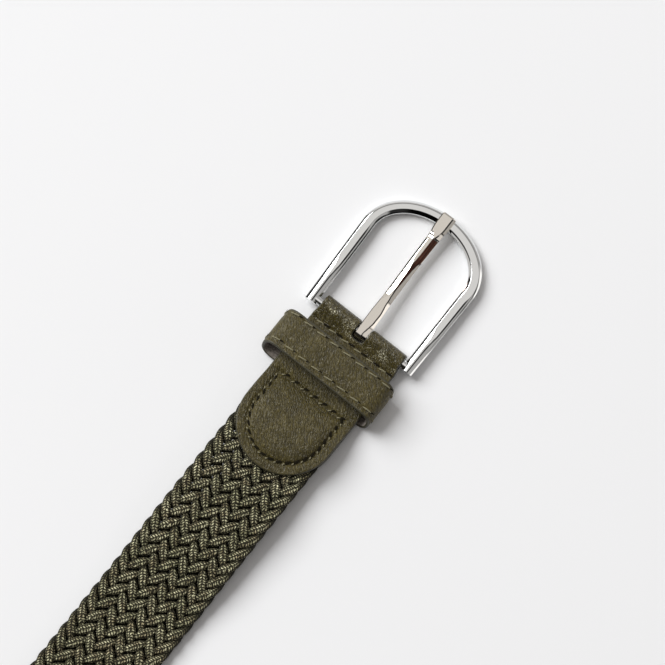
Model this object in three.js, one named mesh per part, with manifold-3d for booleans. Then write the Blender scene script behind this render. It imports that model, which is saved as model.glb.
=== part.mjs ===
// A braided elastic belt with a horseshoe prong buckle, lying flat. Millimetres, +Z up.
// The buckle points to +X, the braid runs to -X. The origin is on the surface that the belt
// rests on, under the middle of the keeper's lower strip.
import * as THREE from 'three';
import { mergeVertices } from 'three/addons/utils/BufferGeometryUtils.js';
import Module from 'manifold-3d';

const wasm = await Module();
wasm.setup();

// Driving dimensions
const gap = 0.3; // kept between neighbouring pieces
const barAhead = 18.7; // from the origin to the bar's axis
const bar = { radius: 1.5, height: 3.4 };
const frame = {
  endBehind: 1.8, // the legs' cut ends, behind the bar's axis
  shoulderAhead: 32.8, // where the straight legs turn into the bow
  bowAhead: 48.7, // middle of the wire at the top of the bow
  legSpread: 20.55, // middle of the wire from the centre line, at the cut ends
  shoulderSpread: 21.2,
  legWide: 4.4,
  shoulderWide: 4.8,
  bowWide: 4.6,
  high: 3.6,
};
const ringRound = { inside: 1.8, outside: 2.85, wide: 3.9 };
const slot = { halfWide: 2.45, behind: 3.3, corner: 1.2, ahead: 6 };
const tab = { halfWide: 17.5, foldHalfWide: 17.25, long: 58.3, foldWall: 1.5 };
const panel = { from: 28, inset: 3.8, puff: 0.5, shoulder: 3 };
const keeper = {
  ahead: 8.55, // the upper strip's front edge, behind the bar's axis
  wide: 14.25,
  lean: 3.05, // how far the lower strip lies behind the upper one
  halfAcross: 23.25,
  offset: 1.5, // it has slid a little to the left
  high: 10.9,
  wall: 1.5,
  crown: 0.4,
  squareness: 0.75, // of the loop's ends, where 1 is round
};
const braid = {
  halfWide: 17.5,
  columns: 8,
  rowPitch: 5.65,
  thick: 4.6,
  groove: 0.9,
  from: 32,
  to: 183,
  edgeWave: 0.5,
};
const tip = { from: 168, to: 223, halfWide: 16.8, pocket: 16, pointLong: 19 };

// How the belt lies, at distances behind the bar's axis: underside, top and one layer's wall
const tabLie = [
  { behind: 0, under: 0, top: 6.8, wall: 1.5 },
  { behind: 5.9, under: 1.5, top: 4.5, wall: 1.35 },
  { behind: 9, under: 1.9, top: 4.9, wall: 1.35 },
  { behind: 26, under: 1.9, top: 4.9, wall: 1.35 },
  { behind: 28, under: 1.9, top: 4.9, wall: 1.35 },
  { behind: 38, under: 2.1, top: 7.7, wall: 1.4 },
  { behind: 50, under: 2.7, top: 8.5, wall: 1.4 },
  { behind: 58.3, under: 3.1, top: 8.6, wall: 1.0 },
];
const tipLie = [
  { behind: 168, under: 0, top: 6.0, wall: 1.0 },
  { behind: 183, under: 0, top: 5.6, wall: 1.4 },
  { behind: 192, under: 0, top: 3.3, wall: 1.4 },
  { behind: 223, under: 0, top: 3.0, wall: 1.4 },
];
// The braid's underside: it arches up behind the tab and comes down to the surface
const braidRise = [
  { behind: 58.3, under: 4.0 },
  { behind: 68, under: 4.0 },
  { behind: 90, under: 2.8 },
  { behind: 118, under: 0 },
];
const braidFree = { after: 68, before: 160 }; // between these no leather presses it thinner

// The prong's shaft, at distances ahead of the bar's axis. ridge is how far its crest lies
// left of the middle, crest is half the crest's width.
const prongSections = [
  { ahead: 0.0, top: 6.25, under: 4.9, half: 1.9, ridge: 0, crest: 1.4 },
  { ahead: 2.5, top: 6.2, under: 4.6, half: 2.15, ridge: 0, crest: 1.5 },
  { ahead: 8.0, top: 6.0, under: 4.2, half: 2.2, ridge: -0.5, crest: 1.3 },
  { ahead: 13.5, top: 5.7, under: 3.9, half: 2.0, ridge: -0.3, crest: 0.8 },
  { ahead: 19.0, top: 5.4, under: 3.6, half: 2.0, ridge: 0.2, crest: 0.3 },
  { ahead: 30.0, top: 5.0, under: 3.2, half: 2.05, ridge: 0.3, crest: 0.25 },
  { ahead: 41.2, top: 4.8, under: 3.0, half: 2.05, ridge: 0.3, crest: 0.4 },
  { ahead: 42.8, top: 5.5, under: 3.1, half: 2.45, ridge: 0.2, crest: 1.6 },
  { ahead: 45.6, top: 5.65, under: 3.2, half: 2.5, ridge: 0.2, crest: 1.8 },
  { ahead: 46.3, top: 5.65, under: 3.97, half: 2.5, ridge: 0.2, crest: 1.8 },
  { ahead: 50.2, top: 5.55, under: 3.97, half: 2.5, ridge: 0.2, crest: 1.8 },
  { ahead: 50.7, top: 5.2, under: 4.1, half: 2.3, ridge: 0.2, crest: 1.7 },
];

// Finishes
const chrome = { color: 0xd4d8db, roughness: 0.08, metalness: 1 };
const nickel = { color: 0xb9ada3, roughness: 0.2, metalness: 1 };
const leather = { color: 0x514b36, roughness: 0.55, metalness: 0 };
const cord = { color: 0x4d4935, roughness: 0.85, metalness: 0 };

// A value from a table at a distance, easing from each row to the next
function readTable(table, column, behind) {
  const next = table.findIndex((row) => row.behind >= behind);
  if (next === 0) return table[0][column];
  if (next < 0) return table.at(-1)[column];
  const [a, b] = [table[next - 1], table[next]];
  const ease = THREE.MathUtils.smoothstep(behind, a.behind, b.behind);
  return THREE.MathUtils.lerp(a[column], b[column], ease);
}

// Evenly spaced numbers from one end to the other, both included
function spread(from, to, steps) {
  return Array.from({ length: steps + 1 }, (_, i) => THREE.MathUtils.lerp(from, to, i / steps));
}

// The volume that a triangle mesh encloses, negative where its faces point inwards
function signedVolume(points, faces) {
  let sum = 0;
  for (let i = 0; i < faces.length; i += 3) {
    const [a, b, c] = [points[faces[i]], points[faces[i + 1]], points[faces[i + 2]]];
    sum += a.dot(new THREE.Vector3().crossVectors(b, c)) / 6;
  }
  return sum;
}

// A closed body through rings of equal, even point count. The first half of a ring is its upper
// rail and the second half its lower rail, walked back. Ends are closed rail to rail, unless the
// last ring joins the first.
function skin(rings, joinsItself = false) {
  const count = rings[0].length;
  const points = rings.flat();
  const faces = [];
  const spans = joinsItself ? rings.length : rings.length - 1;
  for (let i = 0; i < spans; i++) {
    const here = i * count;
    const there = ((i + 1) % rings.length) * count;
    for (let j = 0; j < count; j++) {
      const k = (j + 1) % count;
      faces.push(here + j, there + k, here + k, here + j, there + j, there + k);
    }
  }
  if (!joinsItself) {
    const last = (rings.length - 1) * count;
    for (let j = 0; j < count / 2 - 1; j++) {
      const k = count - 1 - j;
      faces.push(j, j + 1, k - 1, j, k - 1, k);
      faces.push(last + j, last + k - 1, last + j + 1, last + j, last + k, last + k - 1);
    }
  }
  if (signedVolume(points, faces) < 0) faces.reverse();
  const geometry = new THREE.BufferGeometry().setFromPoints(points);
  geometry.setIndex(faces);
  return geometry;
}

function toSolid(geometry) {
  const plain = geometry.clone();
  plain.deleteAttribute('normal');
  plain.deleteAttribute('uv');
  const merged = mergeVertices(plain, 1e-4);
  return new wasm.Manifold(
    new wasm.Mesh({
      numProp: 3,
      vertProperties: new Float32Array(merged.attributes.position.array),
      triVerts: new Uint32Array(merged.index.array),
    }),
  );
}

function toGeometry(solid) {
  const { vertProperties, triVerts } = solid.getMesh();
  const geometry = new THREE.BufferGeometry();
  geometry.setAttribute('position', new THREE.BufferAttribute(vertProperties, 3));
  geometry.setIndex(new THREE.BufferAttribute(triVerts, 1));
  return geometry;
}

function named(name, geometry, finish) {
  const mesh = new THREE.Mesh(geometry, new THREE.MeshStandardMaterial(finish));
  mesh.name = name;
  return mesh;
}

// A round rod along Y about the bar's axis
function rodAcross(radius, length, sides) {
  return new THREE.CylinderGeometry(radius, radius, length, sides);
}

// Buckle frame, in its own plane: the wire's middle line with its width at each point
function frameLine() {
  const legs = spread(-frame.endBehind, frame.shoulderAhead, 3).map((ahead) => {
    const along = (ahead + frame.endBehind) / (frame.shoulderAhead + frame.endBehind);
    return {
      ahead,
      across: THREE.MathUtils.lerp(frame.legSpread, frame.shoulderSpread, along),
      wide: THREE.MathUtils.lerp(frame.legWide, frame.shoulderWide, along),
    };
  });
  const bowLong = frame.bowAhead - frame.shoulderAhead;
  const bow = spread(0, Math.PI, 26).slice(1, -1).map((turn) => ({
    ahead: frame.shoulderAhead + bowLong * Math.sin(turn),
    across: frame.shoulderSpread * Math.cos(turn),
    wide: THREE.MathUtils.lerp(frame.shoulderWide, frame.bowWide, Math.sin(turn)),
  }));
  const otherLeg = legs.map((at) => ({ ...at, across: -at.across })).reverse();
  return [...legs, ...bow, ...otherLeg];
}

// Ridged wire: flat underneath, two cheeks and a rounded crest
function wireRing(at, before, after) {
  const along = new THREE.Vector2(after.ahead - before.ahead, after.across - before.across).normalize();
  const half = at.wide / 2;
  const high = frame.high / 2;
  const rail = [[-1, 0.1], [-0.72, 0.62], [-0.25, 1], [0.25, 1], [0.72, 0.62], [1, 0.1]];
  const lower = [[1, -0.6], [0.8, -1], [0.3, -1], [-0.3, -1], [-0.8, -1], [-1, -0.6]];
  return [...rail, ...lower].map(
    ([out, up]) =>
      new THREE.Vector3(at.ahead + along.y * out * half, at.across - along.x * out * half, up * high),
  );
}

function buckleFrame() {
  const line = frameLine();
  const rings = line.map((at, i) => wireRing(at, line[Math.max(i - 1, 0)], line[Math.min(i + 1, line.length - 1)]));
  const wire = toSolid(skin(rings));
  const rod = toSolid(rodAcross(bar.radius, 2 * frame.legSpread, 16));
  return named('buckle_frame', toGeometry(wire.add(rod)), chrome);
}

// Prong, about the bar's axis: a shaft with a moving crest, and a ring bored for the bar
function prongRing({ ahead, top, under, half, ridge, crest }) {
  const cheek = THREE.MathUtils.lerp(under, top, 0.45);
  const upper = [[half, cheek], [ridge + crest, top], [ridge - crest, top], [-half, cheek]];
  const lower = [[-half, under + 0.3], [0.3 - half, under], [half - 0.3, under], [half, under + 0.3]];
  return [...upper, ...lower].map(([y, z]) => new THREE.Vector3(ahead, y, z - bar.height));
}

function prong() {
  const shaft = toSolid(skin(prongSections.map(prongRing)));
  const ring = toSolid(rodAcross(ringRound.outside, ringRound.wide, 20));
  const bore = toSolid(rodAcross(ringRound.inside, 3 * ringRound.wide, 20));
  return named('prong', toGeometry(shaft.add(ring).subtract(bore)), nickel);
}

// Half the tab's width, with its round end
function tabHalfWide(behind) {
  const centre = tab.long - tab.halfWide;
  const past = Math.max(behind - centre, 0);
  return Math.sqrt(Math.max(tab.halfWide ** 2 - past ** 2, 0));
}

// How far the stitched panel stands up, rising inside the line of its stitches
function panelPuff(behind, across) {
  const centre = tab.long - tab.halfWide;
  const radius = tab.halfWide - panel.inset;
  const fromSide = behind > centre ? radius - Math.hypot(behind - centre, across) : radius - Math.abs(across);
  const inside = Math.min(fromSide, behind - panel.from);
  return panel.puff * THREE.MathUtils.smoothstep(inside, 0, panel.shoulder);
}

// Tab, one strip of leather: from the upper round end, over the bar and back below
function tabStations() {
  const centre = tab.long - tab.halfWide;
  const round = spread(1.47, 0, 8).map((turn) => centre + tab.halfWide * Math.sin(turn));
  const straight = [38, 36.5, 35, 33.5, 32, 30.5, 29.2, 28, 27, 26, 18, 10, 9, 8, 7, 5.9, 4.5, 3, 1.5];
  const layer = [...round, ...straight];
  const upper = layer.map((behind) => {
    const top = readTable(tabLie, 'top', behind);
    const wall = readTable(tabLie, 'wall', behind);
    return { half: tabHalfWide(behind), outer: [-behind, top], inner: [-behind, top - wall], puffs: true };
  });
  const fold = spread(Math.PI / 2, -Math.PI / 2, 10).map((turn) => {
    const at = (radius) => [radius * Math.cos(turn), bar.height + radius * Math.sin(turn)];
    return { half: tab.foldHalfWide, outer: at(bar.height), inner: at(bar.height - tab.foldWall) };
  });
  const lower = layer.toReversed().map((behind) => {
    const under = readTable(tabLie, 'under', behind);
    const wall = readTable(tabLie, 'wall', behind);
    return { half: tabHalfWide(behind), outer: [-behind, under], inner: [-behind, under + wall] };
  });
  return [...upper, ...fold, ...lower];
}

function leatherTab() {
  const shares = [-1, -0.8, -0.64, -0.34, 0, 0.34, 0.64, 0.8, 1];
  const rings = tabStations().map(({ half, outer, inner, puffs }) => {
    const face = shares.map((share) => {
      const lift = puffs ? panelPuff(-outer[0], share * half) : 0;
      return new THREE.Vector3(outer[0], share * half, outer[1] + lift);
    });
    const back = shares.toReversed().map((share) => new THREE.Vector3(inner[0], share * half, inner[1]));
    return [...face, ...back];
  });
  return named('leather_tab', toGeometry(toSolid(skin(rings)).subtract(toSolid(slotCutter()))), leather);
}

// The prong's slot, cut down through the fold, with round inner corners
function slotCutter() {
  const { halfWide, behind, corner, ahead } = slot;
  const outline = new THREE.Shape();
  outline.moveTo(ahead, -halfWide);
  outline.lineTo(ahead, halfWide);
  outline.lineTo(corner - behind, halfWide);
  outline.absarc(corner - behind, halfWide - corner, corner, Math.PI / 2, Math.PI, false);
  outline.absarc(corner - behind, corner - halfWide, corner, Math.PI, 1.5 * Math.PI, false);
  outline.closePath();
  const cutter = new THREE.ExtrudeGeometry(outline, { depth: 12, bevelEnabled: false, curveSegments: 5 });
  return cutter.translate(0, 0, -2);
}

// Keeper, a strip carried round a loop whose ends are squarish arcs. The strip's section has
// round edges.
function keeperLoop() {
  const reach = keeper.high / 2 - keeper.wall / 2;
  const straight = keeper.halfAcross - keeper.wall / 2 - reach;
  const flat = spread(-straight, straight, 6).slice(1, -1);
  const end = spread(-Math.PI / 2, Math.PI / 2, 8).map((angle) => {
    const [side, sign, rise] = [Math.max(Math.cos(angle), 0), Math.sign(angle), Math.abs(Math.sin(angle))];
    const flare = 2 - keeper.squareness;
    return {
      y: straight + reach * side ** keeper.squareness,
      z: reach + reach * sign * rise ** keeper.squareness,
      turn: Math.atan2(sign * rise ** flare, side ** flare),
    };
  });
  const path = [
    ...flat.map((y) => ({ y, z: 0, turn: -Math.PI / 2 })),
    ...end,
    ...flat.toReversed().map((y) => ({ y, z: 2 * reach, turn: Math.PI / 2 })),
    ...end.map(({ y, z, turn }) => ({ y: -y, z: 2 * reach - z, turn: turn + Math.PI })),
  ];
  const section = [[-1, 0.4], [-0.94, 1], [0.94, 1], [1, 0.4], [1, -0.4], [0.94, -1], [-0.94, -1], [-1, -0.4]];
  const rings = path.map(({ y, z, turn }) => {
    const share = z / (2 * reach);
    const middle = -keeper.ahead - keeper.wide / 2 - keeper.lean * (1 - share);
    const crown = keeper.crown * share * Math.cos((y / keeper.halfAcross) * (Math.PI / 2));
    return section.map(([along, out]) => {
      const off = (out * keeper.wall) / 2;
      const across = keeper.offset + y + off * Math.cos(turn);
      const height = keeper.wall / 2 + z + crown + off * Math.sin(turn);
      return new THREE.Vector3(middle + (along * keeper.wide) / 2, across, height);
    });
  });
  return named('keeper_loop', skin(rings, true), leather);
}

// Where the braid's lower and upper faces lie
function braidLie(behind) {
  const between = (table) => {
    const wall = readTable(table, 'wall', behind) + gap;
    return {
      under: readTable(table, 'under', behind) + wall,
      top: readTable(table, 'top', behind) - wall,
    };
  };
  const rise = readTable(braidRise, 'under', behind);
  const held = behind < (tab.long + tip.from) / 2 ? between(tabLie) : between(tipLie);
  const out = THREE.MathUtils.smoothstep(behind, tab.long, braidFree.after);
  const back = THREE.MathUtils.smoothstep(behind, braidFree.before, tip.from);
  const free = Math.min(out, 1 - back);
  return {
    under: THREE.MathUtils.lerp(held.under, rise, free),
    top: THREE.MathUtils.lerp(held.top, rise + braid.thick, free),
  };
}

// Braid, one solid: ribs slant across each column, one way and then the other, and the ribs of
// one column meet the grooves of the next. A rib moves one pitch along while it crosses a column.
function braidedStrap() {
  const columnWide = (2 * braid.halfWide) / braid.columns;
  const rows = Math.floor((2 * (braid.to - braid.from - braid.rowPitch)) / braid.rowPitch);
  const steps = [0, 0.25, 0.75];
  const across = Array.from({ length: braid.columns * 3 + 1 }, (_, i) => ({
    column: Math.floor(i / 3),
    share: steps[i % 3],
  }));
  const rings = Array.from({ length: rows + 1 }, (_, row) => {
    const rail = across.map(({ column, share }, i) => {
      const slant = column % 2 ? 1 - share : share;
      const behind = braid.from + (row * braid.rowPitch) / 2 + slant * braid.rowPitch;
      const isGroove = (row + column) % 2 === 1;
      const depth = share === 0 ? 0.5 : Number(isGroove);
      const atEdge = i === 0 || i === across.length - 1;
      const wave = atEdge && row % 2 ? braid.edgeWave : 0;
      const y = (column + share) * columnWide - braid.halfWide;
      const lie = braidLie(behind);
      const sink = braid.groove * (atEdge ? 1.1 : depth) * ((lie.top - lie.under) / braid.thick);
      return { behind, y: y - Math.sign(y) * wave, under: lie.under + sink, top: lie.top - sink };
    });
    const face = rail.map(({ behind, y, top }) => new THREE.Vector3(-behind, y, top));
    const back = rail.toReversed().map(({ behind, y, under }) => new THREE.Vector3(-behind, y, under));
    return [...face, ...back];
  });
  return named('braided_strap', skin(rings), cord);
}

// End tip: a flat piece with a rounded point, open at its mouth where the braid goes in
function tipHalfWide(behind) {
  const past = Math.max(behind - (tip.to - tip.pointLong), 0) / tip.pointLong;
  return tip.halfWide * Math.sqrt(Math.max(1 - past ** 2.4, 0));
}

function slab(stations, bevel) {
  const rings = stations.map(({ behind, half, under, top }) => {
    const edge = Math.min(bevel, half / 2);
    const third = (top - under) / 3;
    const upper = [[-half, top - third], [edge - half, top], [half - edge, top], [half, top - third]];
    const lower = [[half, under + third], [half - edge, under], [edge - half, under], [-half, under + third]];
    return [...upper, ...lower].map(([y, z]) => new THREE.Vector3(-behind, y, z));
  });
  return toSolid(skin(rings));
}

function endTip() {
  const straight = [168, 176, 183, 186, 189, 192, 198];
  const point = spread(0, 1.42, 9).map((turn) => tip.to - tip.pointLong + tip.pointLong * Math.sin(turn));
  const body = [...straight, ...point].map((behind) => ({
    behind,
    half: tipHalfWide(behind),
    under: 0,
    top: readTable(tipLie, 'top', behind),
  }));
  const pocket = [tip.from - 4, tip.from, tip.from + 6, tip.from + 12, tip.from + tip.pocket].map((behind) => {
    const wall = readTable(tipLie, 'wall', behind);
    return { behind, half: tip.halfWide + 4, under: wall, top: readTable(tipLie, 'top', behind) - wall };
  });
  return named('end_tip', toGeometry(slab(body, 0.6).subtract(slab(pocket, 0.1))), leather);
}

// The bow lies on the surface, so the frame dips from the bar's height to its own half height
const buckle = new THREE.Group();
buckle.position.z = bar.height;
buckle.rotation.y = Math.asin((bar.height - frame.high / 2) / (frame.bowAhead + frame.bowWide / 2));
buckle.add(buckleFrame());

const prongHolder = new THREE.Group();
prongHolder.position.z = bar.height;
prongHolder.add(prong());

const belt = new THREE.Group();
belt.position.x = barAhead;
belt.add(buckle, prongHolder, leatherTab(), keeperLoop(), braidedStrap(), endTip());

const model = new THREE.Group();
model.add(belt);

export default model;
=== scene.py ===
import math

import bmesh
import bpy
import numpy as np
from mathutils import Matrix, Vector


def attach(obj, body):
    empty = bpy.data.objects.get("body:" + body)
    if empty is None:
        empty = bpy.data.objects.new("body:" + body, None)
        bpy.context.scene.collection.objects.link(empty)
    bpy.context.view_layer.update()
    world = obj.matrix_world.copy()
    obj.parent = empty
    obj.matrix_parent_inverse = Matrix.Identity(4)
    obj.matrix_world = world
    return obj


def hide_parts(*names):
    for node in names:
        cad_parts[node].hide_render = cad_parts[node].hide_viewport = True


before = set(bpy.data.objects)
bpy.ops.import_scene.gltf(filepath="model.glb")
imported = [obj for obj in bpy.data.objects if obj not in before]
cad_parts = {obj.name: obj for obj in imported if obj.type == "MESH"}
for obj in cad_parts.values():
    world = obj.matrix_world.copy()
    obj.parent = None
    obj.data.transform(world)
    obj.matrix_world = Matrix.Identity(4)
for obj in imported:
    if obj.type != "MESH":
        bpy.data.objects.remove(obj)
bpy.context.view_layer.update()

mm = 0.001
# lengths here are millimetres; the bar's axis lies this far ahead of the origin and above the floor
barAhead = 18.7
barHigh = 3.4


# small number tools

# smoothstep of (at - low) / (high - low), for whole arrays
def ease(at, low, high):
    share = np.clip((np.asarray(at, float) - low) / (high - low), 0, 1)
    return share * share * (3 - 2 * share)


def blend(a, b, share):
    return a + (b - a) * share


# a table's columns at the given distances, easing from each row to the next
def readTable(table, at):
    rows = np.array(table, float)
    at = np.asarray(at, float)
    nextRow = np.clip(np.searchsorted(rows[:, 0], at, side="left"), 1, len(rows) - 1)
    a, b = rows[nextRow - 1], rows[nextRow]
    share = np.clip((at - a[..., 0]) / (b[..., 0] - a[..., 0]), 0, 1)
    share = (share * share * (3 - 2 * share))[..., None]
    return np.moveaxis(blend(a[..., 1:], b[..., 1:], share), -1, 0)


def unit(vectors):
    return vectors / np.maximum(np.linalg.norm(vectors, axis=-1, keepdims=True), 1e-12)


def join(*lines):
    return np.concatenate(lines)


def stack(*columns):
    return np.stack(np.broadcast_arrays(*[np.asarray(c, float) for c in columns]), -1)


# the values raised to a power, with their signs kept
def signedPower(values, power):
    return np.sign(values) * np.abs(values) ** power


# turns spread evenly round a circle
def roundTurns(count):
    return np.linspace(0, 2 * math.pi, count, endpoint=False)


# how far along a line each of its points lies
def runOf(line):
    return join([0], np.cumsum(np.linalg.norm(np.diff(line, axis=0), axis=1)))


# meshes

def newShape():
    return {"points": [], "faces": [], "uv": [], "finish": [], "count": 0}


# a grid of points (rows, columns, 3) becomes quads; a round one joins its last line to its first
def addGrid(shape, points, uv=None, roundRows=False, roundColumns=False, finish=0):
    rows, columns = points.shape[:2]
    i = np.arange(rows if roundRows else rows - 1)[:, None]
    j = np.arange(columns if roundColumns else columns - 1)[None, :]
    start = shape["count"]

    def corner(di, dj):
        return start + ((i + di) % rows) * columns + (j + dj) % columns

    order = [(0, 0), (0, 1), (1, 1), (1, 0)]
    shape["faces"] += np.stack([corner(di, dj) for di, dj in order], -1).reshape(-1, 4).tolist()
    if uv is None:
        uv = np.zeros((rows + 1, columns + 1, 2))
    shape["uv"].append(np.stack([uv[i + di, j + dj] for di, dj in order], -2).reshape(-1, 2))
    shape["finish"].append(np.broadcast_to(finish, (i.shape[0], j.shape[1])).reshape(-1))
    shape["points"].append(points.reshape(-1, 3))
    shape["count"] += rows * columns
    return start


# one flat face over points that the shape already has
def addCap(shape, indices):
    shape["faces"].append([int(k) for k in indices])
    shape["uv"].append(np.zeros((len(indices), 2)))
    shape["finish"].append(np.zeros(1))


# a grid whose columns run round, with a flat cap over its first row and its last
def addTube(shape, points, uv=None, finish=0):
    rows, columns = points.shape[:2]
    start = addGrid(shape, points, uv=uv, roundColumns=True, finish=finish)
    addCap(shape, start + np.arange(columns)[::-1])
    addCap(shape, start + (rows - 1) * columns + np.arange(columns))


def addObject(name, data):
    made = bpy.data.objects.new(name, data)
    bpy.context.scene.collection.objects.link(made)
    return made


weldReach = 2e-6  # metres


# a shape as an object that rides on a body and may stand for a node
def makePiece(name, shape, finishes, body, node=None, weld=True, sharp=None):
    mesh = bpy.data.meshes.new(name)
    mesh.from_pydata((np.concatenate(shape["points"]) * mm).tolist(), [], shape["faces"])
    layer = mesh.uv_layers.new(name="Surface")
    layer.data.foreach_set("uv", np.concatenate(shape["uv"]).astype(np.float32).ravel())
    mesh.polygons.foreach_set("material_index", np.concatenate(shape["finish"]).astype(np.int32))
    for finish in finishes:
        mesh.materials.append(finish)
    if weld:
        work = bmesh.new()
        work.from_mesh(mesh)
        bmesh.ops.remove_doubles(work, verts=work.verts, dist=weldReach)
        bmesh.ops.recalc_face_normals(work, faces=work.faces)
        work.to_mesh(mesh)
        work.free()
    mesh.polygons.foreach_set("use_smooth", np.ones(len(mesh.polygons), bool))
    if sharp:
        mesh.set_sharp_from_angle(angle=math.radians(sharp))
    mesh.update()
    piece = addObject(name, mesh)
    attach(piece, body)
    if node:
        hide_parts(node)
    return piece


# shader sums

# wraps one shader socket, so that sums on it add Math nodes
class Value:
    def __init__(self, graph, socket):
        self.graph, self.socket = graph, socket

    def __add__(self, other): return self.graph.math("ADD", self, other)
    def __radd__(self, other): return self.graph.math("ADD", other, self)
    def __sub__(self, other): return self.graph.math("SUBTRACT", self, other)
    def __rsub__(self, other): return self.graph.math("SUBTRACT", other, self)
    def __mul__(self, other): return self.graph.math("MULTIPLY", self, other)
    def __rmul__(self, other): return self.graph.math("MULTIPLY", other, self)
    def __truediv__(self, other): return self.graph.math("DIVIDE", self, other)
    def __rtruediv__(self, other): return self.graph.math("DIVIDE", other, self)
    def __abs__(self): return self.graph.math("ABSOLUTE", self)


class Graph:
    def __init__(self, name, world=False):
        self.owner = (bpy.data.worlds if world else bpy.data.materials).new(name)
        self.owner.use_nodes = True
        self.tree = self.owner.node_tree
        self.tree.nodes.clear()

    # a node of a type, with its settings made first and then its sockets' values or links
    def node(self, kind, settings=None, values=None):
        made = self.tree.nodes.new("ShaderNode" + kind)
        for key, value in (settings or {}).items():
            setattr(made, key, value)
        for key, value in (values or {}).items():
            if isinstance(value, Value):
                self.tree.links.new(value.socket, made.inputs[key])
            else:
                made.inputs[key].default_value = value
        return made

    def out(self, made, key=0):
        return Value(self, made.outputs[key])

    def math(self, operation, *values):
        return self.out(self.node("Math", {"operation": operation}, dict(enumerate(values))))

    # 0 below low, 1 above high, eased between
    def between(self, value, low, high):
        values = {"Value": value, "From Min": low, "From Max": high}
        return self.out(self.node("MapRange", {"interpolation_type": "SMOOTHSTEP"}, values))

    # colours are sockets, screen steps (three numbers) or linear (four numbers)
    def mix(self, share, a, b, how="MIX"):
        a, b = [paint(*c) if isinstance(c, tuple) and len(c) == 3 else c for c in (a, b)]
        values = {0: share, 6: a, 7: b}
        return self.out(self.node("Mix", {"data_type": "RGBA", "blend_type": how}, values), 2)

    def place(self):
        return self.out(self.node("TexCoord"), "Object")

    # the piece's own UV: the share of the way round it, and the stitches run along it
    def surface(self):
        uv = self.out(self.node("UVMap", {"uv_map": "Surface"}))
        parts = self.node("SeparateXYZ", None, {0: uv})
        return self.out(parts, 0), self.out(parts, 1)

    def noise(self, where, scale, detail=2.0, rough=0.5, key="Fac"):
        values = {"Vector": where, "Scale": scale, "Detail": detail, "Roughness": rough}
        return self.out(self.node("TexNoise", None, values), key)

    # the place counted in lengths of the given size, along axes turned about Z
    def stretch(self, where, size, turn=0.0):
        values = {"Vector": where, "Scale": size, "Rotation": (0.0, 0.0, turn)}
        return self.out(self.node("Mapping", {"vector_type": "TEXTURE"}, values))

    # the surface's finish: varying values are linked, plain numbers are set
    def finish(self, height=None, deep=0.0001, strength=1.0, **sockets):
        values = {key.replace("_", " "): value for key, value in sockets.items()}
        shader = self.node("BsdfPrincipled", None, values)
        if height is not None:
            values = {"Strength": strength, "Distance": deep, "Height": height}
            bump = self.node("Bump", None, values)
            self.tree.links.new(bump.outputs[0], shader.inputs["Normal"])
        self.show(shader, "OutputMaterial")
        return self.owner

    def show(self, shader, kind):
        self.tree.links.new(shader.outputs[0], self.node(kind).inputs[0])


# a screen colour of 0..255 steps as the linear colour that the shaders take
def paint(red, green, blue):
    steps = [c / 255 for c in (red, green, blue)]
    linear = [c / 12.92 if c <= 0.04045 else ((c + 0.055) / 1.055) ** 2.4 for c in steps]
    return tuple(linear) + (1.0,)


# finishes

platedLook = {
    # smears and waves a metre, and how much of a wave's depth shows
    "smears": 260, "waves": 150, "relief": 0.5,
    "chrome": {"tint": (0.82, 0.83, 0.825, 1.0), "rough": 0.04, "wander": 0.03, "wavy": 0.00002},
    "nickel": {"tint": (0.80, 0.76, 0.695, 1.0), "rough": 0.09, "wander": 0.06, "wavy": 0.00003},
    # the facet right of the prong's ridge: a dark brown tint with darker streaks, a painted dark
    # reflection
    "paintedReflection": {
        "tint": (0.42, 0.19, 0.13, 1.0), "rough": 0.16, "wander": 0.1, "wavy": 0.00003,
        "streak": (0.10, 0.055, 0.045, 1.0), "streakSize": (0.03, 0.0006, 0.03), "streakTurn": 0.02,
        "streakShare": (0.35, 0.65),
    },
}


# polished plate: a bright metal with faint smears in its gloss and the slow waves of its polishing
def plated(name, look):
    g = Graph(name)
    where = g.place()
    tint = look["tint"]
    # darker streaks along the belt, part of the painted dark reflection on the prong's facet
    if "streak" in look:
        along = g.noise(g.stretch(where, look["streakSize"], look["streakTurn"]), 1.0, 1.0)
        tint = g.mix(g.between(along, *look["streakShare"]), look["streak"], tint)
    smear = g.noise(where, platedLook["smears"], 3.0, 0.6)
    wave = g.noise(where, platedLook["waves"], 1.0)
    rough = smear * look["wander"] + (look["rough"] - look["wander"] / 2)
    return g.finish(height=wave, deep=look["wavy"], strength=platedLook["relief"],
                    Base_Color=tint, Metallic=1.0, Roughness=rough)


leatherLook = {
    # light and mid are the leather's own tones; dark is painted shade for the grain's valleys
    "light": (98, 88, 48),
    "mid": (77, 69, 34),
    "dark": (34, 29, 11),
    "pebble": (0.0018, 0.0005, 0.001),
    "wrinkle": (0.0026, 0.00055, 0.001),
    "slant": math.radians(38),
    "warps": 500, "warp": 0.0012,  # how many a metre, and how far they push the grain, in metres
    "patches": 120, "specks": 2600,
    "pebbleEdge": (0.0, 0.3), "pebbleDark": 0.34, "pebbleHigh": 0.45,
    "foldEdge": (0.34, 0.62), "foldDark": 0.4, "foldHigh": 0.55,
    "toneEdge": (0.38, 0.64),
    "deep": 0.00018,
    "rough": 0.31, "sunkRough": 0.12, "slowRough": 0.15,
    "shine": 0.36,
}
foldLook = dict(
    leatherLook, pebble=(0.0013, 0.0006, 0.001), wrinkle=(0.0022, 0.0007, 0.001),
    rough=0.12, shine=0.42,
    # painted highlights, bright glints on the grain's crests in a band across the fold: colour,
    # share, where the band starts and ends ahead, how many in a length of the grain, and the spots
    # that they gather in
    crest=(226, 220, 190), glintShare=0.95, bandFrom=(0.0135, 0.0165), bandTo=(0.0175, 0.0205),
    crests=2.6, crestEdge=(0.54, 0.66), glintSpots=170, glintSpotEdge=(0.44, 0.6),
)


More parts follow.
